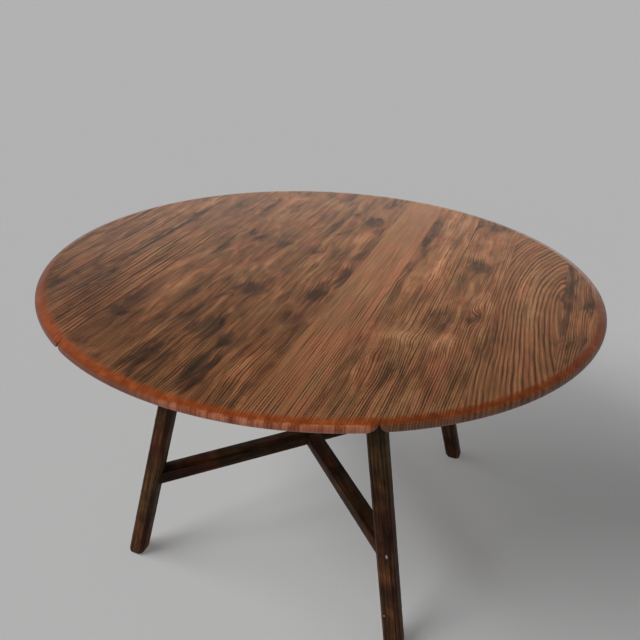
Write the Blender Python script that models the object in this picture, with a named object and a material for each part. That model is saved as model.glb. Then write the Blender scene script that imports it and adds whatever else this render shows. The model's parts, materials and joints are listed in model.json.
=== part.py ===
"""Drop-leaf dining table: oval top in a centre panel and two leaves, splayed legs, crossed stretchers.

Metres. X runs across the leaves, Y along the seams, +Z up. The origin is on the floor under the middle.
"""

import math

import bmesh
import bpy
from mathutils import Vector

# Top
TOP_X = 1.240
TOP_Y = 1.128
HEIGHT = 0.700
TOP_T = 0.019
SEAM_X = 0.304
SEAM_GAP = 0.0008
BOARD_GAP = 0.0003
CENTRE_GLUE_LINES = (-0.166, 0.0145, 0.0955, 0.1935)
LEAF_GLUE_LINES = (0.412, 0.5365)
BEVEL_W = 0.0165
BEVEL_DROP = 0.0036
BEVEL_MID_DROP = 0.4 * BEVEL_DROP
NOSE_IN = 0.0036
NOSE_DROP = 0.0105
UNDER_ROUND = 0.0062
SEAM_ROUND = 0.012
SEAM_END_W = 0.015
SEAM_END_H = 0.0165
SEAM_END_L = 0.030
RIM_STEPS = 144
UNDERSIDE = HEIGHT - TOP_T
SEAM_END_Y = TOP_Y / 2 * math.sqrt(1 - (2 * SEAM_X / TOP_X) ** 2)

# Legs
LEG_SIDE = 0.040
LEG_CHAMFER = 0.007
LEG_TOP = 0.200
LEG_FOOT = 0.332
FOOT_ROUND = 0.010
FOOT_INSET = 0.006
WOOD_GAP = 0.0003
LEG_LENGTH_Z = UNDERSIDE - WOOD_GAP
LEG_SLOPE = (LEG_FOOT - LEG_TOP) / UNDERSIDE

# Aprons and corner blocks
APRON_H = 0.060
APRON_T = 0.020
TENON_T = 0.010
TENON_H = 0.040
TENON_L = 0.012
BLOCK_FACE = 0.030
BLOCK_H = 0.048

# Stretchers
STRETCHER_Z = 0.2205
STRETCHER_W = 0.038
STRETCHER_H = 0.032
STRETCHER_CHAMFER = 0.002
STRETCHER_TENON_R = 0.008
STRETCHER_TENON_IN = 0.010
STRETCHER_BITE = 0.003

# Hinges
PIN_ABOVE = 0.0015
BARREL_R = 0.0035
PIN_R = 0.0015
PIN_CLEAR = 0.0001
FLAP_T = 0.002
FLAP_EDGE = 0.0046
FIXED_FLAP_W = 0.030
MOVING_FLAP_W = 0.040
HINGE_L = 0.050
KNUCKLE_GAP = 0.0003
HINGE_FROM_END = 0.1615
HINGE_Y = SEAM_END_Y - HINGE_FROM_END
PIN_Z = UNDERSIDE + PIN_ABOVE

# Slotted stays. The rivet and the stud are the same distance from the hinge line, so that the bar turns
# on its rivet by exactly half of the leaf's angle.
STUD_BELOW = 0.140
STUD_R = 0.003
STUD_COLLAR_R = 0.006
STUD_DEPTH = 0.012
STAY_W = 0.014
STAY_T = 0.0025
STAY_TAIL = 0.012
STAY_GAP = 0.0003
RIVET_BELOW = 0.010
RIVET_R = 0.0025
RIVET_HEAD_R = 0.0045
RIVET_HEAD_T = 0.0012
BRACKET_T = 0.0025
BRACKET_L = 0.040
BRACKET_W = 0.024
NUT_R = 0.0058
NUT_T = 0.006


def leg_centre(z):
    """Distance of a leg's axis from each mid-plane at height z."""
    return LEG_TOP + (UNDERSIDE - z) * LEG_SLOPE


STUD_Z = UNDERSIDE - STUD_BELOW
STUD_X = leg_centre(STUD_Z)
STUD_REACH = math.hypot(SEAM_X - STUD_X, PIN_Z - STUD_Z)
RIVET_Z = UNDERSIDE - RIVET_BELOW
RIVET_X = SEAM_X + math.sqrt(STUD_REACH**2 - (PIN_Z - RIVET_Z) ** 2)
STAY_OUT = math.hypot(RIVET_X - STUD_X, RIVET_Z - STUD_Z)
DOWN_X = SEAM_X - (PIN_Z - RIVET_Z)
DOWN_Z = PIN_Z - (RIVET_X - SEAM_X)
STAY_IN = math.hypot(DOWN_X - STUD_X, DOWN_Z - STUD_Z)
# The leg leans in above the stud, so the bar runs clear of the face at its own top edge.
LEG_FACE_Y = leg_centre(STUD_Z) - LEG_SIDE / 2
STAY_Y = LEG_FACE_Y - (LEG_SIDE / 2 + STAY_W) * LEG_SLOPE - STAY_GAP
COLLAR_Y = LEG_FACE_Y - STUD_COLLAR_R * LEG_SLOPE - STAY_GAP


def start():
    for obj in list(bpy.data.objects):
        bpy.data.objects.remove(obj)


def material(name, colour, roughness, metallic):
    made = bpy.data.materials.new(name)
    made.use_nodes = True
    shader = made.node_tree.nodes["Principled BSDF"]
    shader.inputs["Base Color"].default_value = (*colour, 1.0)
    shader.inputs["Roughness"].default_value = roughness
    shader.inputs["Metallic"].default_value = metallic
    return made


def solid(name, rings, stuff=None):
    """A closed solid lofted through rings of points, all of the same count."""
    mesh = bmesh.new()
    loops = [[mesh.verts.new(point) for point in ring] for ring in rings]
    for low, high in zip(loops, loops[1:]):
        for i in range(len(low)):
            j = (i + 1) % len(low)
            mesh.faces.new((low[i], low[j], high[j], high[i]))
    mesh.faces.new(loops[0][::-1])
    mesh.faces.new(loops[-1])
    bmesh.ops.recalc_face_normals(mesh, faces=mesh.faces)
    data = bpy.data.meshes.new(name)
    mesh.to_mesh(data)
    mesh.free()
    obj = bpy.data.objects.new(name, data)
    bpy.context.scene.collection.objects.link(obj)
    if stuff:
        data.materials.append(stuff)
    return obj


def box(name, low, high, stuff=None):
    (x0, y0, z0), (x1, y1, z1) = low, high
    floor = [(x0, y0), (x1, y0), (x1, y1), (x0, y1)]
    return solid(name, [[(x, y, z) for x, y in floor] for z in (z0, z1)], stuff)


def along_y(name, section, y0, y1, stuff=None):
    """A prism of an X-Z section between two values of Y."""
    return solid(name, [[(x, y, z) for x, z in section] for y in (y0, y1)], stuff)


def circle(x, z, radius, steps=24):
    angles = [2 * math.pi * i / steps for i in range(steps)]
    return [(x + radius * math.cos(a), z + radius * math.sin(a)) for a in angles]


def boolean(obj, other, operation):
    """Applies a Boolean to obj and removes the other object."""
    modifier = obj.modifiers.new(operation, "BOOLEAN")
    modifier.object = other
    modifier.operation = operation
    modifier.solver = "EXACT"
    graph = bpy.context.evaluated_depsgraph_get()
    made = bpy.data.meshes.new_from_object(obj.evaluated_get(graph))
    obj.modifiers.clear()
    old = obj.data
    obj.data = made
    bpy.data.meshes.remove(old)
    bpy.data.objects.remove(other)


def cut(obj, other):
    boolean(obj, other, "DIFFERENCE")


def join(obj, other):
    boolean(obj, other, "UNION")


def set_origin(obj, point):
    """Puts the object's origin on its joint axis."""
    for vertex in obj.data.vertices:
        vertex.co -= Vector(point)
    obj.location = point


# Top

def rim_profile():
    """(inset, drop) of the rim: a shallow bevel from the flat of the top, then a round nose."""
    points = [(BEVEL_W, 0.0), ((BEVEL_W + NOSE_IN) / 2, BEVEL_MID_DROP)]
    for step in range(4):
        share = step / 3
        inset = NOSE_IN * (1 - math.sin(math.pi / 2 * share))
        drop = NOSE_DROP - (NOSE_DROP - BEVEL_DROP) * math.cos(math.pi / 2 * share)
        points.append((inset, drop))
    for step in range(1, 4):
        share = step / 3
        inset = UNDER_ROUND * (1 - math.cos(math.pi / 2 * share))
        drop = NOSE_DROP + (TOP_T - NOSE_DROP) * math.sin(math.pi / 2 * share)
        points.append((inset, drop))
    return points


def top_blank():
    """The whole oval, with its rim."""
    angles = [2 * math.pi * i / RIM_STEPS for i in range(RIM_STEPS)]
    rings = []
    for inset, drop in rim_profile():
        a, b = TOP_X / 2 - inset, TOP_Y / 2 - inset
        rings.append([(a * math.cos(t), b * math.sin(t), HEIGHT - drop) for t in angles])
    return solid("blank", rings)


def seam_corner(x, way, width, height):
    """The rounded lower corner of a seam side, from the side down to the underside and past it."""
    turns = [math.pi / 2 * i / 6 for i in range(7)]
    points = [(x + way * width * (1 - math.cos(t)), UNDERSIDE + height * (1 - math.sin(t))) for t in turns]
    return [*points, (x + way * width, UNDERSIDE - TOP_T)]


def board(name, x0, x1, seam_low, seam_high, stuff):
    """The strip of the oval from x0 to x1. A seam side is rounded below, more so at its ends."""
    middle = (SEAM_ROUND, SEAM_ROUND)
    end = (SEAM_END_W, SEAM_END_H)
    inner_y = SEAM_END_Y - SEAM_END_L
    stations = [(-TOP_Y, end), (-SEAM_END_Y, end), (-inner_y, middle)]
    stations += [(-y, rounding) for y, rounding in reversed(stations)]
    rings = []
    for y, rounding in stations:
        section = seam_corner(x0, 1, *rounding) if seam_low else [(x0, UNDERSIDE - TOP_T)]
        section += seam_corner(x1, -1, *rounding)[::-1] if seam_high else [(x1, UNDERSIDE - TOP_T)]
        section += [(x1, HEIGHT + TOP_T), (x0, HEIGHT + TOP_T)]
        rings.append([(x, y, z) for x, z in section])
    made = solid(name, rings)
    boolean(made, top_blank(), "INTERSECT")
    made.data.materials.clear()
    made.data.materials.append(stuff)
    return made


def make_top(wood):
    edge = SEAM_X - SEAM_GAP / 2
    lines = (-edge, *CENTRE_GLUE_LINES, edge)
    last = len(lines) - 2
    for i, (x0, x1) in enumerate(zip(lines, lines[1:])):
        x0 += BOARD_GAP / 2 if i > 0 else 0
        x1 -= BOARD_GAP / 2 if i < last else 0
        board(f"centre_board_{i + 1}", x0, x1, i == 0, i == last, wood)
    lines = (SEAM_X + SEAM_GAP / 2 - BOARD_GAP / 2, *LEAF_GLUE_LINES, TOP_X)
    for place, low, high in zip(("inner", "middle", "outer"), lines, lines[1:]):
        x0 = low + BOARD_GAP / 2
        x1 = high - BOARD_GAP / 2
        at_seam = place == "inner"
        right = board(f"leaf_right_{place}", x0, x1, at_seam, False, wood)
        left = board(f"leaf_left_{place}", -x1, -x0, False, at_seam, wood)
        set_origin(right, (SEAM_X, 0, PIN_Z))
        set_origin(left, (-SEAM_X, 0, PIN_Z))


# Legs

def leg_section(grow):
    """The chamfered square, grown all round, as offsets from the leg's axis."""
    half = LEG_SIDE / 2 + grow
    flat = half - LEG_CHAMFER
    return [
        (half, -flat), (half, flat), (flat, half), (-flat, half),
        (-half, flat), (-half, -flat), (-flat, -half), (flat, -half),
    ]


def leg_solid(name, side_x, side_y, grow=0.0, stuff=None):
    """A leg that leans out both ways, its foot rounded. A grown one is the cutter for what meets it."""
    rings = []
    turns = [math.pi / 2 * step / 3 for step in (3, 2, 1, 0)]
    foot = [(FOOT_ROUND * (1 - math.sin(t)), FOOT_INSET * (1 - math.cos(t))) for t in turns]
    for z, inset in (*foot, (LEG_LENGTH_Z, 0.0)):
        centre = leg_centre(z)
        section = leg_section(grow - inset)
        rings.append([(side_x * centre + x, side_y * centre + y, z) for x, y in section])
    return solid(name, rings, stuff)


def apron_ends(grow=0.0):
    """The tenon that an apron has at each leg, along +X from the leg's inner face."""
    middle = UNDERSIDE - APRON_H / 2
    face = leg_centre(middle) - LEG_SIDE / 2
    across = TENON_T / 2 + grow
    return face, face + TENON_L + grow, across, middle - TENON_H / 2 - grow, middle + TENON_H / 2 + grow


def tenon(name, side_x, side_y, lengthwise, grow=0.0):
    """One apron tenon as a box that starts well inside the apron."""
    face, tip, across, z0, z1 = apron_ends(grow)
    start_at = face - 3 * TENON_L
    middle = leg_centre(UNDERSIDE - APRON_H / 2)
    if lengthwise == "x":
        low = (min(side_x * start_at, side_x * tip), side_y * middle - across, z0)
        high = (max(side_x * start_at, side_x * tip), side_y * middle + across, z1)
    else:
        low = (side_x * middle - across, min(side_y * start_at, side_y * tip), z0)
        high = (side_x * middle + across, max(side_y * start_at, side_y * tip), z1)
    return box(name, low, high)


def diagonal_loft(name, side_x, side_y, near, far, section):
    """A prism of an (across, height) section along a diagonal of the base."""
    run = Vector((side_x, side_y, 0)).normalized()
    across = Vector((-run.y, run.x, 0))
    rings = []
    for end in (near, far):
        rings.append([tuple(run * end + across * u + Vector((0, 0, z))) for u, z in section])
    return solid(name, rings)


def bar_section(half_w, z0, z1, chamfer):
    """A rectangle with its corners chamfered."""
    return [
        (-half_w, z0 + chamfer), (-half_w + chamfer, z0), (half_w - chamfer, z0), (half_w, z0 + chamfer),
        (half_w, z1 - chamfer), (half_w - chamfer, z1), (-half_w + chamfer, z1), (-half_w, z1 - chamfer),
    ]


def stretcher_peg(name, side_x, side_y, near, tip, radius):
    """A round tenon, or its mortise, along a diagonal at the stretchers' height."""
    return diagonal_loft(name, side_x, side_y, near, tip, circle(0, STRETCHER_Z, radius))


LEG_DIAGONAL = leg_centre(STRETCHER_Z) * math.sqrt(2)
CORNERS = ((1, -1), (-1, -1), (1, 1), (-1, 1))


def corner_name(side_x, side_y):
    return f"{'right' if side_x > 0 else 'left'}_{'front' if side_y < 0 else 'back'}"


def make_legs(wood):
    for side_x, side_y in CORNERS:
        leg = leg_solid("leg_" + corner_name(side_x, side_y), side_x, side_y, 0.0, wood)
        for lengthwise in ("x", "y"):
            cut(leg, tenon("mortise", side_x, side_y, lengthwise, WOOD_GAP))
        inside = LEG_DIAGONAL - LEG_SIDE
        tip = LEG_DIAGONAL - LEG_SIDE / 2 + STRETCHER_TENON_IN + WOOD_GAP
        cut(leg, stretcher_peg("mortise", side_x, side_y, inside, tip, STRETCHER_TENON_R + WOOD_GAP))
        depth = side_y * (LEG_FACE_Y + STUD_DEPTH + STAY_GAP)
        mouth = side_y * (LEG_FACE_Y - LEG_SIDE)
        cut(leg, along_y("hole", circle(side_x * STUD_X, STUD_Z, STUD_R + WOOD_GAP), depth, mouth))


# Aprons and corner blocks

def make_aprons(wood):
    middle = leg_centre(UNDERSIDE - APRON_H / 2)
    half = APRON_T / 2
    z0, z1 = UNDERSIDE - APRON_H, UNDERSIDE - WOOD_GAP
    for name, side, lengthwise in (
        ("apron_front", -1, "x"), ("apron_back", 1, "x"), ("apron_left", -1, "y"), ("apron_right", 1, "y")
    ):
        if lengthwise == "x":
            apron = box(name, (-middle, side * middle - half, z0), (middle, side * middle + half, z1), wood)
            corners = ((-1, side), (1, side))
        else:
            apron = box(name, (side * middle - half, -middle, z0), (side * middle + half, middle, z1), wood)
            corners = ((side, -1), (side, 1))
        for side_x, side_y in corners:
            cut(apron, leg_solid("clear", side_x, side_y, WOOD_GAP))
        for side_x, side_y in corners:
            join(apron, tenon("tenon", side_x, side_y, lengthwise))


def make_blocks(wood):
    """A five-sided block in each corner of the aprons, clear of the leg's inner corner."""
    inner = leg_centre(UNDERSIDE - APRON_H / 2) - APRON_T / 2 - WOOD_GAP
    face = LEG_SIDE / 2 + BLOCK_FACE
    nose = leg_centre(UNDERSIDE) - LEG_SIDE / 2 - 2 * WOOD_GAP
    for side_x, side_y in CORNERS:
        plan = [
            (nose, inner), (nose - face, inner), (inner, nose - face), (inner, nose), (nose, nose)
        ]
        rings = []
        for z in (UNDERSIDE - BLOCK_H, UNDERSIDE - WOOD_GAP):
            rings.append([(side_x * x, side_y * y, z) for x, y in plan])
        solid("corner_block_" + corner_name(side_x, side_y), rings, wood)


# Stretchers

def make_stretchers(wood):
    z0, z1 = STRETCHER_Z - STRETCHER_H / 2, STRETCHER_Z + STRETCHER_H / 2
    half = STRETCHER_W / 2
    reach = LEG_DIAGONAL - STRETCHER_BITE
    section = bar_section(half, z0, z1, STRETCHER_CHAMFER)
    for name, side_x, lap_z0, lap_z1 in (
        ("stretcher_upper", 1, z0 - half, STRETCHER_Z + WOOD_GAP / 2),
        ("stretcher_lower", -1, STRETCHER_Z - WOOD_GAP / 2, z1 + half),
    ):
        bar = diagonal_loft(name, side_x, 1, -reach, reach, section)
        bar.data.materials.append(wood)
        lap_half = half + WOOD_GAP
        lap = [(-lap_half, lap_z0), (lap_half, lap_z0), (lap_half, lap_z1), (-lap_half, lap_z1)]
        cut(bar, diagonal_loft("lap", -side_x, 1, -STRETCHER_W, STRETCHER_W, lap))
        ends = ((side_x, 1), (-side_x, -1))
        for end in ends:
            cut(bar, leg_solid("clear", *end, WOOD_GAP))
        for end in ends:
            tip = LEG_DIAGONAL - LEG_SIDE / 2 + STRETCHER_TENON_IN
            join(bar, stretcher_peg("tenon", *end, LEG_DIAGONAL - 2 * LEG_SIDE, tip, STRETCHER_TENON_R))


# Hinges

def flap(name, side, away, hinge_y, knuckles, width, stuff):
    """A hinge flap: its plate under the wood and its own knuckles. away is +1 on the leaf's side."""
    out = side * away
    top = UNDERSIDE - WOOD_GAP
    near, far = SEAM_X * side + out * FLAP_EDGE, SEAM_X * side + out * width
    made = box(
        name,
        (min(near, far), hinge_y - HINGE_L / 2, top - FLAP_T),
        (max(near, far), hinge_y + HINGE_L / 2, top),
        stuff,
    )
    for y0, y1 in knuckles:
        deep = near + out * FLAP_T
        axis_x = SEAM_X * side
        web = box("web", (min(axis_x, deep), y0, top - FLAP_T), (max(axis_x, deep), y1, top))
        join(web, along_y("barrel", circle(axis_x, PIN_Z, BARREL_R), y0, y1))
        join(made, web)
    bore = circle(SEAM_X * side, PIN_Z, PIN_R + PIN_CLEAR)
    cut(made, along_y("bore", bore, hinge_y - HINGE_L, hinge_y + HINGE_L))
    return made


def make_hinges(brass, steel):
    third = HINGE_L / 3
    gap = KNUCKLE_GAP / 2
    for side, hand in ((1, "right"), (-1, "left")):
        for hinge_y, place in ((-HINGE_Y, "front"), (HINGE_Y, "back")):
            name = f"hinge_{hand}_{place}"
            low = hinge_y - HINGE_L / 2
            ends = ((low, low + third - gap), (low + 2 * third + gap, low + HINGE_L))
            middle = ((low + third + gap, low + 2 * third - gap),)
            flap(name + "_fixed", side, -1, hinge_y, ends, FIXED_FLAP_W, brass)
            moving = flap(name + "_moving", side, 1, hinge_y, middle, MOVING_FLAP_W, brass)
            set_origin(moving, (side * SEAM_X, hinge_y, PIN_Z))
            rod = circle(side * SEAM_X, PIN_Z, PIN_R)
            along_y(name + "_pin", rod, low, low + HINGE_L, steel)


# Slotted stays

def stadium(x0, z0, x1, z1, radius, steps=10):
    """Points round a slot shape with its centres at the two given points."""
    turn = math.atan2(z1 - z0, x1 - x0)
    points = []
    for x, z, first in ((x1, z1, turn - math.pi / 2), (x0, z0, turn + math.pi / 2)):
        for i in range(steps + 1):
            a = first + math.pi * i / steps
            points.append((x + radius * math.cos(a), z + radius * math.sin(a)))
    return points


def stay_point(side, distance):
    """The point of the bar's centre line this far from the rivet."""
    share = distance / STAY_OUT
    return side * (RIVET_X + (STUD_X - RIVET_X) * share), RIVET_Z + (STUD_Z - RIVET_Z) * share


def make_bar(name, side_x, side_y, steel):
    """The slotted bar, beside the leg's inner face."""
    rivet_at = (side_x * RIVET_X, RIVET_Z)
    face, back = side_y * STAY_Y, side_y * (STAY_Y - STAY_T)
    tail = stay_point(side_x, STAY_OUT + STAY_TAIL - STAY_W / 2)
    bar = along_y(name + "_bar", stadium(*rivet_at, *tail, STAY_W / 2), face, back, steel)
    outside = (face + side_y * STAY_T, back - side_y * STAY_T)
    slot = stadium(*stay_point(side_x, STAY_IN), *stay_point(side_x, STAY_OUT), STUD_R + STAY_GAP)
    cut(bar, along_y("slot", slot, *outside))
    cut(bar, along_y("hole", circle(*rivet_at, RIVET_R + PIN_CLEAR), *outside))
    set_origin(bar, (side_x * RIVET_X, face, RIVET_Z))


def make_bracket(name, side_x, side_y, steel, brass):
    """The angle under the leaf, and the rivet that the bar turns on."""
    rivet_at = (side_x * RIVET_X, RIVET_Z)
    hinge_at = (side_x * SEAM_X, side_y * STAY_Y, PIN_Z)
    top = UNDERSIDE - WOOD_GAP
    back = side_y * (STAY_Y - STAY_T)
    lug = side_y * (STAY_Y + STAY_GAP)
    lug_out = lug + side_y * BRACKET_T
    far = lug + side_y * BRACKET_W
    bracket = box(
        name + "_bracket",
        (rivet_at[0] - BRACKET_L / 2, min(lug, far), top - BRACKET_T),
        (rivet_at[0] + BRACKET_L / 2, max(lug, far), top),
        steel,
    )
    ear = stadium(*rivet_at, rivet_at[0], top - STAY_W / 2 - STAY_GAP, STAY_W / 2)
    join(bracket, along_y("ear", ear, lug, lug_out))
    hole = circle(*rivet_at, RIVET_R + PIN_CLEAR)
    cut(bracket, along_y("hole", hole, back, lug_out + side_y * BRACKET_T))
    set_origin(bracket, hinge_at)

    near_head = back - side_y * STAY_GAP
    far_head = lug_out + side_y * STAY_GAP
    shank_ends = (near_head - side_y * RIVET_HEAD_T / 2, far_head + side_y * RIVET_HEAD_T / 2)
    rivet = along_y(name + "_rivet", circle(*rivet_at, RIVET_R), *shank_ends, brass)
    head = circle(*rivet_at, RIVET_HEAD_R)
    join(rivet, along_y("head", head, near_head, near_head - side_y * RIVET_HEAD_T))
    join(rivet, along_y("head", head, far_head, far_head + side_y * RIVET_HEAD_T))
    set_origin(rivet, hinge_at)


def make_stud(name, side_x, side_y, steel, brass):
    """The stud in the leg that the slot slides along, and the nut that keeps the bar on it."""
    stud_at = (side_x * STUD_X, STUD_Z)
    back = side_y * (STAY_Y - STAY_T)
    nut_face = back - side_y * STAY_GAP
    nut_end = nut_face - side_y * NUT_T
    thread_end = nut_face - side_y * NUT_T / 2
    root = side_y * (LEG_FACE_Y + STUD_DEPTH)
    stud = along_y(name + "_stud", circle(*stud_at, STUD_R), root, thread_end, steel)
    collar = circle(*stud_at, STUD_COLLAR_R)
    join(stud, along_y("collar", collar, side_y * COLLAR_Y, side_y * (STAY_Y + STAY_GAP)))
    nut = along_y(name + "_nut", circle(*stud_at, NUT_R, 6), nut_face, nut_end, brass)
    thread = circle(*stud_at, STUD_R + PIN_CLEAR)
    cut(nut, along_y("thread", thread, back, thread_end - side_y * STAY_GAP))


def make_stays(steel, brass):
    for side_x, side_y in CORNERS:
        name = "stay_" + corner_name(side_x, side_y)
        make_bar(name, side_x, side_y, steel)
        make_bracket(name, side_x, side_y, steel, brass)
        make_stud(name, side_x, side_y, steel, brass)


def main():
    start()
    top_wood = material("top_wood", (0.20, 0.085, 0.038), 0.45, 0.0)
    frame_wood = material("frame_wood", (0.055, 0.026, 0.015), 0.42, 0.0)
    brass = material("brass", (0.62, 0.44, 0.17), 0.35, 1.0)
    steel = material("steel", (0.46, 0.46, 0.45), 0.38, 1.0)
    make_top(top_wood)
    make_legs(frame_wood)
    make_aprons(frame_wood)
    make_blocks(frame_wood)
    make_stretchers(frame_wood)
    make_hinges(brass, steel)
    make_stays(steel, brass)


main()
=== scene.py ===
"""Looks of the drop-leaf dining table.

The top has figured boards and a lacquered rim, the legs are dark and worn, and brass and steel lie below.
Metres, in the CAD frame: X across the leaves, Y along the seams, +Z up, the floor at 0.
"""

import json
import math

import bmesh
import bpy
import numpy as np
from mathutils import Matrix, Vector

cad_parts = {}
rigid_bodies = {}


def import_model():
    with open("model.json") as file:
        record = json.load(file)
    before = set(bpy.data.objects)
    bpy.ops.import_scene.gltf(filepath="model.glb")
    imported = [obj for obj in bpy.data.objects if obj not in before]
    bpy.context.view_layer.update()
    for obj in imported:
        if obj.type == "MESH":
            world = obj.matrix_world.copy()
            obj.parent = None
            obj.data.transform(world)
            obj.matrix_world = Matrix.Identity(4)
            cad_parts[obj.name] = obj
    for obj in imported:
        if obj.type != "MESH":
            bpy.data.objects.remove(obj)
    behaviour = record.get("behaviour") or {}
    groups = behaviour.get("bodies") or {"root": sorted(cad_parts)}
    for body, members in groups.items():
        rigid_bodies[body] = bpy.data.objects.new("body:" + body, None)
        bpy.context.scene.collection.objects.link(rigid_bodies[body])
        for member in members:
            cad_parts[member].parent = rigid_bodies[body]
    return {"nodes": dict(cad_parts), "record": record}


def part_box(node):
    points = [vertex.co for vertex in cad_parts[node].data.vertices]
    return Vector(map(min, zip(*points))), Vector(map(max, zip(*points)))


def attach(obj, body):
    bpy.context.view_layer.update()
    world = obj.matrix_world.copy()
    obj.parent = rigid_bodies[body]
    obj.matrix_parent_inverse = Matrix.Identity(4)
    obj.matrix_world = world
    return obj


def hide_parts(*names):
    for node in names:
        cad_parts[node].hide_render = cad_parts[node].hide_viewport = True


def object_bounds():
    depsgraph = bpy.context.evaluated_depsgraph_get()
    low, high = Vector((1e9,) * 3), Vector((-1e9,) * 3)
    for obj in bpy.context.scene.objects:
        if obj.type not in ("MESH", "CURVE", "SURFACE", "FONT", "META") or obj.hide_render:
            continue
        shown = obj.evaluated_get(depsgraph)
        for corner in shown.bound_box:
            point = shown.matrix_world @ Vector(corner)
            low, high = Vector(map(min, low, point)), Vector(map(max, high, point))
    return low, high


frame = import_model()
cad_low, cad_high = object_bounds()

MM_PER_M = 1000.0
WELD = 1e-6
SLIVER = 1e-7

# Camera of the photograph, for a square picture
CAMERA_AT = (0.4980, -1.2519, 1.3095)
CAMERA_PITCH = 27.432
CAMERA_YAW = 22.875
CAMERA_LENS = 36.526
CAMERA_SENSOR = 36.0
CAMERA_SHIFT = (0.03121, -0.02827)

# Light
KEY_FROM = (-0.79, -0.73, 1.0)
KEY_STRENGTH = 1.22
KEY_ANGLE = 25.0
SIDE_FROM = (-1.3, -0.3, 1.0)
SIDE_STRENGTH = 1.68
SIDE_ANGLE = 40.0
FILL_FROM = (0.0, 0.0, 1.0)
FILL_STRENGTH = 0.88
FILL_ANGLE = 20.0
SKY_STRENGTH = 0.05
HORIZON_STRENGTH = 1.45
HORIZON_RISE = 0.10
HORIZON_HEIGHT = 0.40
BACK_AT = (0.0, 0.90, 1.85)
BACK_AIM = (0.0, 0.1, 0.7)
BACK_SIZE = 1.0
BACK_POWER = 13.0
FLOOR_GREY = 0.44
FLOOR_CLOUD = 0.004
FLOOR_HALF = 120.0

# Top, as in the CAD
TOP_A = cad_high.x
TOP_B = cad_high.y
TOP_Z = cad_high.z
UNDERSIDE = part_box("centre_board_1")[0].z
TOP_T = TOP_Z - UNDERSIDE
SEAM_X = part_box("leaf_right_inner")[0].x
BEVEL_W = 0.0165
BEVEL_DROP = 0.0036
BEVEL_CURVE = 0.4
NOSE_IN = 0.0036
NOSE_DROP = 0.0105
UNDER_ROUND = 0.0062
SEAM_ROUND = 0.012
SEAM_END_W = 0.015
SEAM_END_H = 0.0165
SEAM_END_L = 0.030

# Finer forms of the top, and its mesh
SEAM_END_POWER = 1.4
SEAM_CORNER = 0.0022
SEAM_CORNER_L = 0.005
ARRIS = 0.0002
RIGHT_SEAM_SHUT = 0.00013
LEFT_SEAM_SHUT = 0.00030
GLUE_HALF_GAP = 0.00015
SEAM_STEPS = 6
SEAM_STATIONS = [SEAM_END_L * i / SEAM_STEPS for i in range(1, SEAM_STEPS + 1)]
BEVEL_STATIONS = (0.0, 0.04, 0.1, 0.2, 0.35, 0.5, 0.65, 0.8, 0.92)
NOSE_STEPS = 8
UNDER_STEPS = 7
SEAM_NEAR = 0.002
TIP_NEAR = 0.0001
CELL = 0.006
BOARD_SEED_STEP = 7.3

# Legs and stretchers, as in the CAD
LEG_SIDE = 0.040
LEG_CHAMFER = 0.007
LEG_TOP = 0.200
LEG_FOOT = 0.332
FOOT_ROUND = 0.010
FOOT_INSET = 0.006
WOOD_GAP = 0.0003
LEG_SLOPE = (LEG_FOOT - LEG_TOP) / UNDERSIDE
STRETCHER_Z = 0.2205
STRETCHER_W = 0.038
STRETCHER_H = 0.032
STRETCHER_CHAMFER = 0.002
STRETCHER_BITE = 0.003
CORNERS = ((1, -1), (-1, -1), (1, 1), (-1, 1))

# Eased and worn edges, and the meshes that have them. Waves are given by their count and their lengths.
LEG_EDGE_ROUND = 0.0012
LEG_EDGE_FLAT = 0.0016
LEG_DENT = 0.00025
LEG_DENT_WAVES = (14, 6.1856, 0.018)
STRETCHER_EDGE_ROUND = 0.0008
STRETCHER_EDGE_FLAT = 0.0012
STRETCHER_DENT = 0.0004
STRETCHER_DENT_WAVES = (14, 1 / 60, 0.02)
LEG_STEPS = 70
FOOT_STEPS = 5
ARM_STEPS = 40
FRAME_EASE = 0.001
METAL_EASE = 0.0002
DARK_SEED_STEP = 11.1

# Pale chips on the right front leg, in mm: across, up, half width, half height
LEG_CHIPS = ((5.3, 223.0, 2.6, 4.6), (-10.8, 80.0, 1.2, 2.4))

# Screw heads, and their places in the plates
BRACKET_T = 0.0025
BRACKET_SCREW_IN = 0.009
BRACKET_SCREW_HALF_APART = 0.013
FLAP_SCREW_IN = 0.010
FLAP_SCREW_HALF_APART = 0.016
FLAP_THIRD_SCREW_IN = 0.024
SCREW_R = 0.0032
SCREW_SEAT_R = SCREW_R * 1.04
SCREW_RISE = 0.0008
SCREW_FLOOR = 0.0003
SCREW_SLOT = 0.0009
SCREW_SIDES = 32

# Colours of the top: tones from dark to light, and factors
WOOD_TONES = (
    (0.0, (0.041, 0.0212, 0.0133)),
    (0.25, (0.094, 0.0432, 0.0236)),
    (0.5, (0.207, 0.0864, 0.0393)),
    (0.75, (0.352, 0.1617, 0.0801)),
    (1.0, (0.526, 0.2669, 0.1413)),
)
WOOD_HUES = ((0.32, (0.90, 1.04, 0.97)), (0.5, (1.0, 1.0, 0.95)), (0.68, (1.10, 0.96, 0.95)))
DARK_LINE = (0.036, 0.0158, 0.0083)
LIGHT_LINE = (0.60, 0.285, 0.128)
PORE = (0.036, 0.018, 0.010)
DIRT = (0.022, 0.010, 0.006)
# Painted shade towards the front of the top
FRONT_SHADE_FACTORS = (0.77, 0.70, 0.61)
STAIN_TONES = ((0.0, (0.056, 0.012, 0.003)), (0.5, (0.220, 0.046, 0.010)), (1.0, (0.530, 0.145, 0.036)))
STAIN_LEFT_FACTORS = (1.12, 1.06, 0.85)
# Painted shade on the far left of the rim
RIM_FAR_LEFT_SHADE_FACTORS = (0.54, 0.56, 0.42)
STAIN_RIGHT_LEAF_FACTORS = (0.66, 0.66, 0.70)
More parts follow.
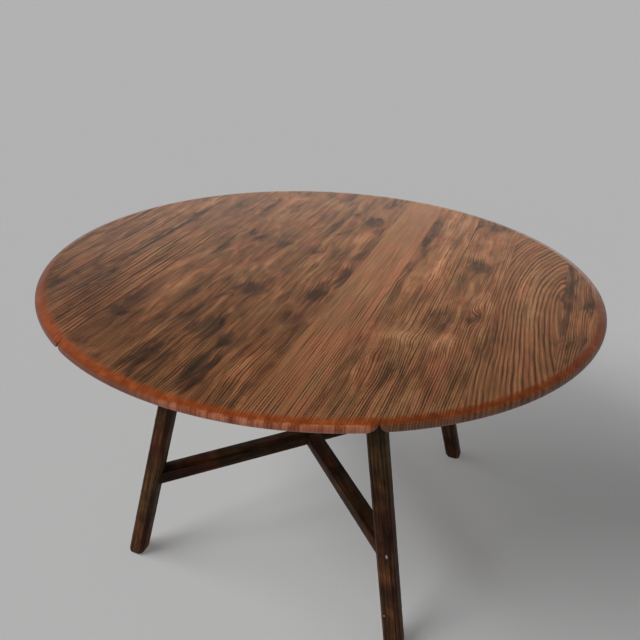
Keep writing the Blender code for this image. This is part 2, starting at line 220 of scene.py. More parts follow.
# Painted shade on the nose at the left
NOSE_SHADE = (0.130, 0.042, 0.022)
NOSE_BROWNS = ((0.35, (0.070, 0.026, 0.011)), (0.65, (0.190, 0.080, 0.036)))
# Paler front of the nose: partly wear, partly a painted highlight
NOSE_WEAR_AND_HIGHLIGHT = (0.450, 0.175, 0.100)

# Colours of the legs and the frame, the same way
DARK_TONES = (
    (0.1, (0.005, 0.0022, 0.0012)),
    (0.38, (0.021, 0.0088, 0.0042)),
    (0.6, (0.056, 0.0235, 0.0100)),
    (0.9, (0.140, 0.0620, 0.0260)),
)
DARK_HUES = ((0.35, (0.92, 1.06, 0.90)), (0.65, (1.25, 0.92, 0.88)))
LEG_FACTORS = (1.55, 1.78, 1.90)
CORNER_DARK = (0.005, 0.002, 0.001)
CORNER_RUBBED = (0.120, 0.062, 0.034)
CHIP_PALE = (0.30, 0.26, 0.26)

# Colours of the metals, clean and worn
BRASS_CLEAN = (0.62, 0.42, 0.15)
BRASS_WORN = (0.30, 0.19, 0.08)
STEEL_CLEAN = (0.50, 0.50, 0.49)
STEEL_WORN = (0.27, 0.26, 0.25)


# Shader helpers

def smooth_step(tree, low, high, at_low, at_high):
    """A node that goes smoothly from one value to another between two limits."""
    node = tree.nodes.new("ShaderNodeMapRange")
    node.interpolation_type = "SMOOTHSTEP"
    for name, limit in zip(("From Min", "From Max", "To Min", "To Max"), (low, high, at_low, at_high)):
        node.inputs[name].default_value = limit
    return node


class Graph:
    """A material under construction. A socket and a plain value can both be given as an input."""

    def __init__(self, name):
        self.material = bpy.data.materials.new(name)
        self.material.use_nodes = True
        self.tree = self.material.node_tree
        self.shader = self.tree.nodes["Principled BSDF"]

    def put(self, value, socket):
        if isinstance(value, bpy.types.NodeSocket):
            self.tree.links.new(value, socket)
        else:
            socket.default_value = value

    def surface(self, **inputs):
        for name, value in inputs.items():
            self.put(value, self.shader.inputs[name.replace("_", " ").title().replace("Ior", "IOR")])

    def attribute(self, name):
        node = self.tree.nodes.new("ShaderNodeAttribute")
        node.attribute_name = name
        return node

    def value(self, name):
        return self.attribute(name).outputs["Fac"]

    def place(self):
        return self.tree.nodes.new("ShaderNodeTexCoord").outputs["Object"]

    def split(self, vector):
        node = self.tree.nodes.new("ShaderNodeSeparateXYZ")
        self.put(vector, node.inputs[0])
        return node.outputs

    def join(self, x, y, z):
        node = self.tree.nodes.new("ShaderNodeCombineXYZ")
        for value, socket in zip((x, y, z), node.inputs):
            self.put(value, socket)
        return node.outputs[0]

    def math(self, operation, a, b=0.0):
        node = self.tree.nodes.new("ShaderNodeMath")
        node.operation = operation
        self.put(a, node.inputs[0])
        self.put(b, node.inputs[1])
        return node.outputs[0]

    def scaled(self, value, factor, shift=0.0):
        """The value times the factor, plus the shift."""
        node = self.tree.nodes.new("ShaderNodeMath")
        node.operation = "MULTIPLY_ADD"
        self.put(value, node.inputs[0])
        self.put(factor, node.inputs[1])
        self.put(shift, node.inputs[2])
        return node.outputs[0]

    def noise(self, vector, detail=2.0, roughness=0.5, distortion=0.0):
        node = self.tree.nodes.new("ShaderNodeTexNoise")
        self.put(vector, node.inputs["Vector"])
        node.inputs["Scale"].default_value = 1.0
        node.inputs["Detail"].default_value = detail
        node.inputs["Roughness"].default_value = roughness
        node.inputs["Distortion"].default_value = distortion
        return node.outputs["Fac"]

    def fade(self, value, low, high):
        """0 below low, 1 above high and smooth between, either way round."""
        if low < high:
            node = smooth_step(self.tree, low, high, 0.0, 1.0)
        else:
            node = smooth_step(self.tree, high, low, 1.0, 0.0)
        self.put(value, node.inputs["Value"])
        return node.outputs["Result"]

    def ramp(self, value, stops):
        node = self.tree.nodes.new("ShaderNodeValToRGB")
        self.put(value, node.inputs[0])
        elements = node.color_ramp.elements
        while len(elements) < len(stops):
            elements.new(0.5)
        for element, (position, colour) in zip(elements, stops):
            element.position = position
            element.color = (*colour, 1.0)
        return node.outputs["Color"]

    def mix(self, share, a, b, blend="MIX"):
        node = self.tree.nodes.new("ShaderNodeMix")
        node.data_type = "RGBA"
        node.blend_type = blend
        self.put(share, node.inputs["Factor"])
        for value, socket in ((a, node.inputs[6]), (b, node.inputs[7])):
            self.put((*value, 1.0) if isinstance(value, tuple) else value, socket)
        return node.outputs[2]

    def tinted(self, share, colour, factors):
        """The colour, multiplied by these factors in that share."""
        return self.mix(share, colour, self.mix(1.0, colour, factors, "MULTIPLY"))

    def bump(self, height, distance, strength):
        node = self.tree.nodes.new("ShaderNodeBump")
        self.put(height, node.inputs["Height"])
        node.inputs["Distance"].default_value = distance
        node.inputs["Strength"].default_value = strength
        return node.outputs["Normal"]


# Mesh helpers

def new_piece(name, points, faces, material, body, nodes=(), fields=None):
    """A mesh that rides on a body and stands for CAD nodes. A field holds a number for each point."""
    data = bpy.data.meshes.new(name)
    data.from_pydata([tuple(p) for p in points], [], faces)
    for field, values in (fields or {}).items():
        store(data, field, values)
    work = bmesh.new()
    work.from_mesh(data)
    bmesh.ops.remove_doubles(work, verts=work.verts, dist=WELD)
    bmesh.ops.dissolve_degenerate(work, edges=work.edges, dist=SLIVER)
    bmesh.ops.recalc_face_normals(work, faces=work.faces)
    work.to_mesh(data)
    work.free()
    data.materials.append(material)
    obj = bpy.data.objects.new(name, data)
    bpy.context.scene.collection.objects.link(obj)
    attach(obj, body)
    if nodes:
        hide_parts(*nodes)
    return obj


def smooth(obj, degrees=35):
    """Smooth shading, with edges sharper than this kept crisp."""
    for polygon in obj.data.polygons:
        polygon.use_smooth = True
    obj.data.set_sharp_from_angle(angle=math.radians(degrees))


def store(data, name, values):
    """Keeps one number, or one vector, for each point of a mesh."""
    values = np.asarray(values, float)
    kind, key = ("FLOAT_VECTOR", "vector") if values.ndim == 2 else ("FLOAT", "value")
    made = data.attributes.new(name, kind, "POINT")
    made.data.foreach_set(key, values.astype(np.float32).ravel())


def positions(obj):
    co = np.empty(len(obj.data.vertices) * 3)
    obj.data.vertices.foreach_get("co", co)
    return co.reshape(-1, 3)


def loft_faces(rings, count):
    """Quads between rings of count points."""
    faces = []
    for r in range(rings - 1):
        for i in range(count):
            j = (i + 1) % count
            low, high = r * count, (r + 1) * count
            faces.append((low + i, low + j, high + j, high + i))
    return faces


def waves(x, y, seed, count, length_x, length_y):
    """A smooth random field with about that wavelength each way, near 0 and mostly within 1."""
    draw = np.random.default_rng(seed)
    total = np.zeros_like(x)
    for _ in range(count):
        kx, ky = draw.normal(0, 1, 2)
        phase = draw.uniform(0, 2 * math.pi)
        total += np.sin(2 * math.pi * (kx * x / length_x + ky * y / length_y) + phase)
    return total * math.sqrt(2 / count) / 2


# Figure of the boards. Every field is worked out at the mesh's points from x and y.
# Waves are given as above.

FIGURE_BEND = 0.006
FIGURE_WANDER_X = 0.005
FIGURE_WANDER_Y = 0.014
WANDER_X_WAVES = (10, 0.04, 0.09)
WANDER_Y_WAVES = (10, 0.04, 0.11)
SWAY_WAVES = (9, 0.30, 0.60)
CURL_WAVES = (12, 0.060, 0.12)
PATCH_FALL = 0.6
PATCH_POWER = 1.4
KNOT_PUSH = 0.5
KNOT_REACH_X = 2.2
KNOT_REACH_Y = 3.5
KNOT_CORE = 0.6
ARCS_AT = (0.570, 0.030)
ARCS_STRETCH_BACK = 2.6
ARCS_STRETCH_FRONT = 6.0
LINE_DRIFT = 4.0

# Knots: x, y, radius
KNOTS = (
    (0.377, -0.103, 0.012),
    (0.443, 0.019, 0.003),
    (-0.311, 0.040, 0.004),
    (-0.182, 0.118, 0.009),
    (-0.020, 0.090, 0.008),
    (0.000, 0.010, 0.010),
    (-0.235, -0.345, 0.009),
    (0.058, 0.310, 0.014),
    (-0.490, -0.293, 0.010),
)

# Dark figure, board by board: x, y, half width, half length, depth
DARK_FIGURE = (
    (-0.490, -0.290, 0.026, 0.030, 0.8),
    (-0.415, 0.120, 0.011, 0.190, 1.0),
    (-0.395, -0.230, 0.020, 0.080, 0.7),
    (-0.345, 0.330, 0.020, 0.110, 0.7),
    (-0.262, 0.300, 0.012, 0.110, 0.7),
    (-0.225, 0.150, 0.040, 0.014, 0.8),
    (-0.185, 0.115, 0.013, 0.045, 1.0),
    (-0.245, 0.010, 0.010, 0.080, 0.8),
    (-0.280, -0.235, 0.013, 0.085, 0.9),
    (-0.270, -0.340, 0.034, 0.014, 1.0),
    (-0.180, -0.220, 0.012, 0.070, 0.8),
    (-0.120, 0.100, 0.028, 0.022, 0.8),
    (-0.040, 0.270, 0.013, 0.085, 0.8),
    (-0.022, 0.085, 0.022, 0.018, 0.9),
    (-0.085, -0.155, 0.036, 0.026, 0.9),
    (-0.138, -0.270, 0.016, 0.060, 0.9),
    (-0.080, -0.335, 0.026, 0.040, 1.2),
    (-0.018, -0.360, 0.018, 0.024, 1.2),
    (-0.125, -0.465, 0.022, 0.030, 0.9),
    (-0.018, -0.480, 0.022, 0.045, 1.1),
    (0.052, 0.500, 0.024, 0.050, 0.9),
    (0.050, 0.330, 0.026, 0.034, 1.0),
    (0.075, 0.265, 0.016, 0.030, 0.9),
    (0.084, 0.140, 0.008, 0.070, 0.8),
    (0.082, -0.025, 0.014, 0.050, 1.1),
    (0.055, -0.130, 0.022, 0.050, 1.0),
    (0.050, -0.240, 0.020, 0.034, 0.8),
    (0.208, 0.300, 0.014, 0.150, 1.0),
    (0.206, 0.020, 0.008, 0.160, 0.7),
    (0.270, -0.345, 0.026, 0.060, 0.9),
    (0.346, 0.140, 0.026, 0.030, 1.3),
    (0.330, 0.060, 0.012, 0.060, 0.7),
    (0.352, 0.420, 0.040, 0.034, 1.0),
    (0.325, -0.130, 0.020, 0.050, 0.9),
    (0.378, -0.104, 0.014, 0.024, 0.9),
    (0.425, -0.160, 0.014, 0.090, 0.6),
    (0.547, 0.080, 0.012, 0.150, 0.9),
    (0.587, 0.050, 0.014, 0.040, 0.7),
    (0.560, -0.120, 0.026, 0.030, 0.7),
)

# Light figure, the same way
LIGHT_FIGURE = (
    (-0.440, 0.330, 0.008, 0.080, 0.9),
    (-0.390, -0.050, 0.010, 0.150, 0.6),
    (-0.232, -0.240, 0.016, 0.110, 1.0),
    (-0.163, -0.420, 0.012, 0.100, 0.9),
    (-0.200, 0.240, 0.030, 0.050, 0.7),
    (-0.030, 0.170, 0.016, 0.050, 0.8),
    (-0.090, 0.420, 0.020, 0.060, 0.7),
    (-0.100, 0.010, 0.016, 0.050, 0.7),
    (0.045, 0.200, 0.022, 0.050, 0.7),
    (0.040, -0.440, 0.024, 0.050, 0.9),
    (0.236, 0.380, 0.008, 0.100, 0.7),
    (0.262, 0.120, 0.010, 0.110, 0.9),
    (0.262, -0.225, 0.034, 0.020, 1.1),
    (0.236, -0.330, 0.012, 0.060, 0.9),
    (0.378, -0.020, 0.014, 0.050, 1.0),
    (0.345, -0.220, 0.020, 0.050, 0.8),
    (0.470, 0.050, 0.024, 0.160, 0.6),
)


def grain_of(x, y, sway, curl, seed):
    """The coordinate across the grain. Lines of equal value are the growth rings seen on the face."""
    grain = x + sway * waves(x, y, seed, *SWAY_WAVES) + curl * waves(x, y, seed + 50, *CURL_WAVES)
    for knot_x, knot_y, radius in KNOTS:
        away = x - knot_x
        far_x = away / (KNOT_REACH_X * radius)
        far_y = (y - knot_y) / (KNOT_REACH_Y * radius)
        push = KNOT_PUSH * radius * np.exp(-(far_x**2 + far_y**2))
        grain = grain - push * away / np.sqrt(away**2 + (KNOT_CORE * radius) ** 2)
    return grain


def arcs_of(x, y, grain):
    """Turns the grain of a board into nested arcs about a point beyond its edge."""
    up = y - ARCS_AT[1]
    stretch = np.where(up > 0, ARCS_STRETCH_BACK, ARCS_STRETCH_FRONT)
    arc = np.sqrt((x - ARCS_AT[0]) ** 2 + (up / stretch) ** 2)
    return ARCS_AT[0] - arc + (grain - x)


def patches(x, y, rows):
    """The strongest of the placed patches at each point."""
    field = np.zeros_like(x)
    for at_x, at_y, half_x, half_y, depth in rows:
        away = ((x - at_x) / half_x) ** 2 + ((y - at_y) / half_y) ** 2
        field = np.maximum(field, depth * np.exp(-PATCH_FALL * away**PATCH_POWER))
    return field


def figure_of(x, y, seed):
    """The figure, about -1 where it is dark and 1 where it is light, with wandering edges."""
    bent_x = x + FIGURE_WANDER_X * waves(x, y, seed + 90, *WANDER_X_WAVES)
    bent_y = y + FIGURE_WANDER_Y * waves(x, y, seed + 91, *WANDER_Y_WAVES)
    return patches(bent_x, bent_y, LIGHT_FIGURE) - patches(bent_x, bent_y, DARK_FIGURE)


# The top

def rim_profile():
    """(inset, drop) from the edge of the flat, over the bevel and the nose, to the underside."""
    points = []
    for s in BEVEL_STATIONS:
        drop = BEVEL_DROP * s * (1 - BEVEL_CURVE + BEVEL_CURVE * s)
        points.append((BEVEL_W + (NOSE_IN - BEVEL_W) * s, drop))
    for step in range(NOSE_STEPS + 1):
        turn = math.pi / 2 * step / NOSE_STEPS
        drop = NOSE_DROP - (NOSE_DROP - BEVEL_DROP) * math.cos(turn)
        points.append((NOSE_IN * (1 - math.sin(turn)), drop))
    for step in range(1, UNDER_STEPS + 1):
        turn = math.pi / 2 * step / UNDER_STEPS
        drop = NOSE_DROP + (TOP_T - NOSE_DROP) * math.sin(turn)
        points.append((UNDER_ROUND * (1 - math.cos(turn)), drop))
    return points


def seam_offset(drop, from_end):
    """How far a seam's side stands back at this depth.

    There is a fine arris above and a round below, which grows and flattens at the ends of the seam,
    where the corner is rounded in plan too.
    """
    end = max(0.0, 1 - from_end / SEAM_END_L)
    width = SEAM_ROUND + (SEAM_END_W - SEAM_ROUND) * end
    height = SEAM_ROUND + (SEAM_END_H - SEAM_ROUND) * end
    power = 2 + (SEAM_END_POWER - 2) * end
    above = max(0.0, 1 - drop / ARRIS)
    below = max(0.0, 1 - (TOP_T - drop) / height)
    corner = SEAM_CORNER * max(0.0, 1 - from_end / SEAM_CORNER_L) * min(1.0, drop / BEVEL_DROP)
    top = ARRIS * (1 - math.sqrt(1 - above**2))
    return max(corner, top) + width * (1 - (1 - below**power) ** (1 / power))


def board_mesh(x0, x1, seam_low, seam_high):
    """Points and faces of the strip of the oval from x0 to x1, gridded on its upper face."""
    columns = max(8, math.ceil((x1 - x0) / CELL))
    rows = math.ceil(2 * TOP_B / CELL)
    points = []
    profile = rim_profile()
    for inset, drop in profile:
        a, b = TOP_A - inset, TOP_B - inset
        back = seam_offset(drop, 0.0)
        low = max(x0 + (back if seam_low else 0), -a)
        high = min(x1 - (back if seam_high else 0), a)
        first, last = math.acos(low / a), math.acos(high / a)
        arc = [first + (last - first) * i / columns for i in range(columns + 1)]
        front = [(a * math.cos(t), -b * math.sin(t), TOP_Z - drop) for t in arc]
        right, left = [], []
        for from_end in SEAM_STATIONS:
            back = seam_offset(drop, from_end)
            right_x = x1 - back if seam_high else high
            left_x = x0 + back if seam_low else low
            right.append((right_x, min(0.0, front[-1][1] + from_end), TOP_Z - drop))
            left.append((left_x, min(0.0, front[0][1] + from_end), TOP_Z - drop))
        half = list(reversed(left)) + front + right
        points += half + [(x, -y, z) for x, y, z in reversed(half)]
    side = len(SEAM_STATIONS)
    count = 2 * (columns + 1 + 2 * side)
    faces = loft_faces(len(profile), count)

    # The flat above is a grid, and the underside one face
    index = [[side + i for i in range(columns + 1)]]
    for row in range(1, rows):
        line = []
        for i in range(columns + 1):
            x, y, z = points[side + i]
            line.append(len(points))
            points.append((x, y * (1 - 2 * row / rows), z))
        index.append(line)
    index.append([count - 1 - side - i for i in range(columns + 1)])
    for front, rear in zip(index, index[1:]):
        for i in range(columns):
            faces.append((front[i], front[i + 1], rear[i + 1], rear[i]))
    last = (len(profile) - 1) * count
    faces.append(tuple(range(last, last + count)))
    return points, faces


def make_board(node, body, style, material):
    """One board of the top, with the fields that its material draws from."""
    low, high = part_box(node)
    tip_low, tip_high = low.x < TIP_NEAR - TOP_A, high.x > TOP_A - TIP_NEAR
    seam_low = abs(abs(low.x) - SEAM_X) < SEAM_NEAR
    seam_high = abs(abs(high.x) - SEAM_X) < SEAM_NEAR
    shut = RIGHT_SEAM_SHUT if low.x > 0 else LEFT_SEAM_SHUT
    x0 = low.x - (0.0 if tip_low else shut if seam_low else GLUE_HALF_GAP)
    x1 = high.x + (0.0 if tip_high else shut if seam_high else GLUE_HALF_GAP)
    points, faces = board_mesh(x0, x1, seam_low, seam_high)
    x, y, _ = np.array(points).T
    seed = style["seed"]
    figure = figure_of(x, y, seed) * style["figure"]
    grain = grain_of(x, y, style["sway"], style["curl"], seed)
    if style["arcs"]:
        grain = arcs_of(x, y, grain)
    fields = {
        "grain": grain + FIGURE_BEND * figure,
        "figure": figure,
        "tone": np.full(len(x), style["tone"]),
        "cloud": np.full(len(x), style["cloud"]),
        "lines": np.full(len(x), style["lines"]),
        "pitch": np.full(len(x), style["pitch"]),
        "seed": np.full(len(x), BOARD_SEED_STEP * seed),
    }
    obj = new_piece(node + "_wood", points, faces, material, body, (node,), fields)
    smooth(obj)


def top_material():
    """Figured wood, drawn from the boards' fields, with its rim lacquered and painted shade towards the
    front.
    """
    g = Graph("figured_wood")
    x, y, _ = g.split(g.place())
    grain = g.scaled(g.value("grain"), MM_PER_M)
    along = g.scaled(y, MM_PER_M)
    seed = g.value("seed")
    pitch = g.value("pitch")
    lines = g.value("lines")

    def drawn_out(across, length, detail, roughness, distortion=0.0, shift=0.0):
        """Noise stretched along the grain, in cells of about these millimetres."""
        cell = g.math("DIVIDE", grain, across)
        spot = g.join(cell, g.scaled(along, 1 / length), g.math("ADD", seed, shift))
        return g.noise(spot, detail, roughness, distortion)

    # Growth lines: dark grooves at an even pitch that drifts, broken up by finer ones
    drift = drawn_out(26.0, 240.0, 2.0, 0.5)
    turn = g.math("DIVIDE", g.scaled(grain, 2 * math.pi), pitch)
    stripe = g.math("SINE", g.scaled(drift, LINE_DRIFT, turn))
    groove = drawn_out(g.scaled(pitch, 0.42), 220.0, 1.0, 0.5)
    fine = drawn_out(1.3, 70.0, 1.0, 0.5)
    line = g.scaled(stripe, 0.22, g.scaled(groove, 1.1, g.scaled(fine, 0.5, -0.3)))

    # Tone: clouds and mottling along each board, with the placed figure frayed by them
    ring = drawn_out(9.0, 200.0, 2.0, 0.5)
    cloud = drawn_out(26.0, 95.0, 3.0, 0.52, 0.9)
    ripple = drawn_out(60.0, 17.0, 2.0, 0.5, 0.8, 17.0)
    mottle = drawn_out(9.0, 34.0, 3.0, 0.55, 0.6)
    figure = g.scaled(g.math("SUBTRACT", mottle, 0.5), 1.05, g.value("figure"))
    figure = g.scaled(g.math("SUBTRACT", ring, 0.5), 0.6, figure)
    level = g.scaled(g.math("SUBTRACT", ring, 0.5), 0.16, g.value("tone"))
    cloudy = g.scaled(g.math("SUBTRACT", ripple, 0.5), 0.22, g.math("SUBTRACT", cloud, 0.5))
    level = g.math("ADD", level, g.math("MULTIPLY", cloudy, g.value("cloud")))
    level = g.scaled(g.fade(figure, 0.0, -1.05), -0.26, g.scaled(g.fade(figure, 0.15, 1.0), 0.24, level))
    hue = drawn_out(42.0, 120.0, 2.0, 0.5, 0.5, 31.0)
    colour = g.mix(1.0, g.ramp(level, WOOD_TONES), g.ramp(hue, WOOD_HUES), "MULTIPLY")

    # Dark lines, light ones where the wood is not dark, and pores
    dark_line = g.math("MULTIPLY", g.fade(line, 0.41, 0.24), lines)
    colour = g.mix(g.scaled(dark_line, 0.85), colour, DARK_LINE)
    pale = g.math("MULTIPLY", lines, g.fade(level, 0.12, 0.42))
    light_line = g.math("MULTIPLY", g.fade(line, 0.56, 0.84), pale)
    colour = g.mix(g.scaled(light_line, 0.30), colour, LIGHT_LINE)
    pore = drawn_out(0.9, 14.0, 1.0, 0.5)
    pores = g.math("MULTIPLY", g.fade(pore, 0.36, 0.26), 0.5)
    colour = g.mix(pores, colour, PORE)

    # Dirt lies along the seams, most of all the right one
    from_seam = g.math("ABSOLUTE", g.math("SUBTRACT", g.math("ABSOLUTE", x), SEAM_X))
    seam = g.math("MULTIPLY", g.fade(from_seam, 0.0016, 0.0006), g.scaled(g.fade(x, -0.1, 0.1), 0.30, 0.20))
    colour = g.mix(seam, colour, DIRT)

    # Painted shade: the top is darkened and reddened towards the front, most of all on the left, where less
    # light falls
    painted_front_shade = g.math("MULTIPLY", g.fade(y, 0.02, -0.45), g.scaled(g.fade(x, 0.0, -0.45), 0.55, 0.8))
    colour = g.tinted(painted_front_shade, colour, FRONT_SHADE_FACTORS)

    colour, rim = lacquered(g, colour, line, mottle)
    relief = g.scaled(line, 1.0, g.scaled(pores, -0.6))
    gloss = g.scaled(line, -0.10, g.scaled(cloud, 0.10, 0.27))
    g.surface(
        base_color=colour,
        roughness=g.scaled(rim, 0.14, gloss),
        specular_ior_level=0.3,
        normal=g.bump(relief, 0.00025, 0.6),
    )
    return g.material


def lacquered(g, colour, line, mottle):
    """The colour with the bevel and nose lacquered orange, most of all in front, and the rim's share. The
    nose on the left and the rim's far left carry painted shade, and the front of the nose a painted
    highlight over its wear.
    """
    x, y, z = g.split(g.place())
    across = g.math("POWER", g.scaled(x, 1 / TOP_A), 2.0)
    along = g.math("POWER", g.scaled(y, 1 / TOP_B), 2.0)
    reach = g.math("SQRT", g.math("ADD", across, along))
    inset = g.scaled(reach, -TOP_B, TOP_B)
    wander = g.noise(g.join(g.scaled(x, 55.0), g.scaled(y, 55.0), z), 4.0, 0.65)
    leftward = g.fade(x, 0.15, -0.35)
    softer = g.math("MULTIPLY", leftward, g.fade(y, -0.10, -0.40))
    edge = g.math("MULTIPLY", inset, g.scaled(softer, -0.28, 1.0))
    edge = g.scaled(g.math("SUBTRACT", wander, 0.5), 0.012, g.scaled(line, 0.004, edge))
    rim = g.math("MULTIPLY", g.fade(edge, 0.0250, 0.0105), g.fade(y, 0.40, -0.10))
    depth = g.scaled(line, 0.16, g.scaled(mottle, 0.20, g.scaled(wander, 0.90, -0.13)))
    stain = g.tinted(leftward, g.ramp(depth, STAIN_TONES), STAIN_LEFT_FACTORS)
    # Painted shade: the rim's far left, which faces the side light, is darkened
    stain = g.tinted(g.fade(x, -0.36, -0.56), stain, RIM_FAR_LEFT_SHADE_FACTORS)
    on_leaf = g.fade(x, 0.295, 0.315)
    stain = g.tinted(on_leaf, stain, STAIN_RIGHT_LEAF_FACTORS)
    colour = g.mix(rim, colour, stain)

    # The nose has painted shade on the left, is paler along the front, partly rubbed and partly a painted
    # highlight, and browner on the right leaf
    nose = g.math("MULTIPLY", g.fade(inset, 0.0060, 0.0025), g.fade(y, 0.10, -0.20))
    streaked = g.scaled(line, 0.55, g.scaled(wander, 0.45))
    # Painted shade on the nose at the left
    painted_nose_shade = g.math("MULTIPLY", nose, g.fade(x, 0.08, -0.12))
    colour = g.mix(g.scaled(painted_nose_shade, 0.8), colour, NOSE_SHADE)
    brown_nose = g.math("MULTIPLY", nose, g.scaled(on_leaf, 0.8))
    colour = g.mix(brown_nose, colour, g.ramp(streaked, NOSE_BROWNS))
    # Paler band along the front of the nose: partly wear, partly a painted highlight
    rubbed = g.fade(g.scaled(line, 0.12, g.scaled(wander, 0.92)), 0.38, 0.72)
    forward = g.math("MULTIPLY", g.fade(x, -0.14, 0.06), g.math("SUBTRACT", 1.0, on_leaf))
    nose_wear_and_highlight = g.math("MULTIPLY", nose, g.math("MULTIPLY", rubbed, forward))
    return g.mix(nose_wear_and_highlight, colour, NOSE_WEAR_AND_HIGHLIGHT), rim


def look(seed, tone, pitch, lines, figure, cloud, sway, curl, arcs=False):
    """How one board looks: its tone, the pitch in mm and strength of its lines, its clouds and its bends.

    Figure is the share of the placed figure that it takes, and arcs is whether its lines are nested arcs.
    """
    return {
        "seed": seed, "tone": tone, "pitch": pitch, "lines": lines, "figure": figure, "cloud": cloud,
        "sway": sway, "curl": curl, "arcs": arcs,
    }


BOARD_LOOKS = {
    "leaf_left_outer": look(1, 0.44, 10.0, 1.40, 1.0, 1.00, 0.004, 0.0006),
    "leaf_left_middle": look(2, 0.43, 10.0, 1.40, 1.0, 0.95, 0.004, 0.0005),
    "leaf_left_inner": look(3, 0.46, 10.0, 1.40, 1.0, 0.75, 0.003, 0.0004),
    "centre_board_1": look(4, 0.465, 5.3, 1.15, 1.0, 1.05, 0.005, 0.0008),
    "centre_board_2": look(5, 0.44, 5.3, 1.10, 1.0, 1.00, 0.005, 0.0008),
    "centre_board_3": look(6, 0.455, 5.3, 1.10, 1.0, 0.95, 0.005, 0.0008),
    "centre_board_4": look(7, 0.610, 5.0, 1.00, 0.0, 0.12, 0.001, 0.0001),
    "centre_board_5": look(8, 0.535, 4.6, 1.00, 1.0, 0.80, 0.004, 0.0005),
    "leaf_right_inner": look(9, 0.505, 4.4, 0.95, 1.0, 0.80, 0.003, 0.0005),
    "leaf_right_middle": look(10, 0.47, 7.6, 0.90, 1.0, 0.45, 0.003, 0.0006, True),
    "leaf_right_outer": look(11, 0.44, 4.6, 0.85, 1.0, 0.85, 0.004, 0.0008),
}


def make_top():
    """Every board, on the body that carries it."""
    material = top_material()
    for node, style in BOARD_LOOKS.items():
        body = "frame" if node.startswith("centre") else node.rsplit("_", 1)[0]
        make_board(node, body, style, material)


# Legs and stretchers

def leg_centre(z):
    """Distance of a leg's axis from each mid-plane at height z."""
    return LEG_TOP + (UNDERSIDE - z) * LEG_SLOPE


def eased(outline, radius, flat, steps=3):
    """Rounds a polygon's corners. Gives the points, and for each how near it is to a corner."""
    points, near = [], []
    corners = [Vector(p) for p in outline]
    for i, corner in enumerate(corners):
        before = (corners[i - 1] - corner).normalized()
        after = (corners[(i + 1) % len(corners)] - corner).normalized()
        half = before.angle(after) / 2
        back = radius / math.tan(half)
        start, end = corner + before * back, corner + after * back
        middle = corner + (before + after).normalized() * (radius / math.sin(half))
        points.append(start + before * flat)
        near.append(0.0)
        first, last = start - middle, end - middle
        for step in range(steps + 1):
            share = step / steps
            arm = (first * (1 - share) + last * share).normalized() * radius
            points.append(middle + arm)
            near.append(1.0)
        points.append(end + after * flat)
        near.append(0.0)
    return points, np.array(near)


def leg_outline(inset):
    """A leg's chamfered square, drawn in by the inset."""
    half = LEG_SIDE / 2 - inset
    flat = half - LEG_CHAMFER
    return [
        (half, -flat), (half, flat), (flat, half), (-flat, half),
        (-half, flat), (-half, -flat), (-flat, -half), (flat, -half),
    ]


def corner_name(side_x, side_y):
    return f"{'right' if side_x > 0 else 'left'}_{'front' if side_y < 0 else 'back'}"


def make_leg(side_x, side_y, material, seed):
    """A chamfered leg that leans out both ways, with a rounded foot and dented corners."""
    levels = []
    for step in range(FOOT_STEPS + 1):
        turn = math.pi / 2 * (FOOT_STEPS - step) / FOOT_STEPS
        levels.append((FOOT_ROUND * (1 - math.sin(turn)), FOOT_INSET * (1 - math.cos(turn))))
    top = UNDERSIDE - WOOD_GAP
    levels += [(FOOT_ROUND + (top - FOOT_ROUND) * i / LEG_STEPS, 0.0) for i in range(1, LEG_STEPS + 1)]
    points, local, edge = [], [], []
    for z, inset in levels:
        centre = leg_centre(z)
        outline, near = eased(leg_outline(inset), LEG_EDGE_ROUND, LEG_EDGE_FLAT)
        count = len(outline)
        wear = waves(np.arange(count) * 1.0, np.full(count, z), seed, *LEG_DENT_WAVES)
        dent = LEG_DENT * near * (1 + wear)
        for (x, y), d in zip(outline, dent):
            shrink = 1 - d / math.hypot(x, y)
            points.append((side_x * centre + x * shrink, side_y * centre + y * shrink, z))
            local.append((x, y, z))
        edge += list(near)
    faces = loft_faces(len(levels), count)
    faces.append(tuple(reversed(range(count))))
    faces.append(tuple(range((len(levels) - 1) * count, len(levels) * count)))
    node = "leg_" + corner_name(side_x, side_y)
    fields = {"local": local, "edge": edge, "seed": np.full(len(points), DARK_SEED_STEP * seed)}
    obj = new_piece(node + "_wood", points, faces, material, "frame", (node,), fields)
    smooth(obj, 50)


def stretcher_outline(z0, z1):
    """A stretcher's section between two heights."""
    half, c = STRETCHER_W / 2, STRETCHER_CHAMFER
    return [
        (-half, z0 + c), (-half + c, z0), (half - c, z0), (half, z0 + c),
        (half, z1 - c), (half - c, z1), (-half + c, z1), (-half, z1 - c),
    ]


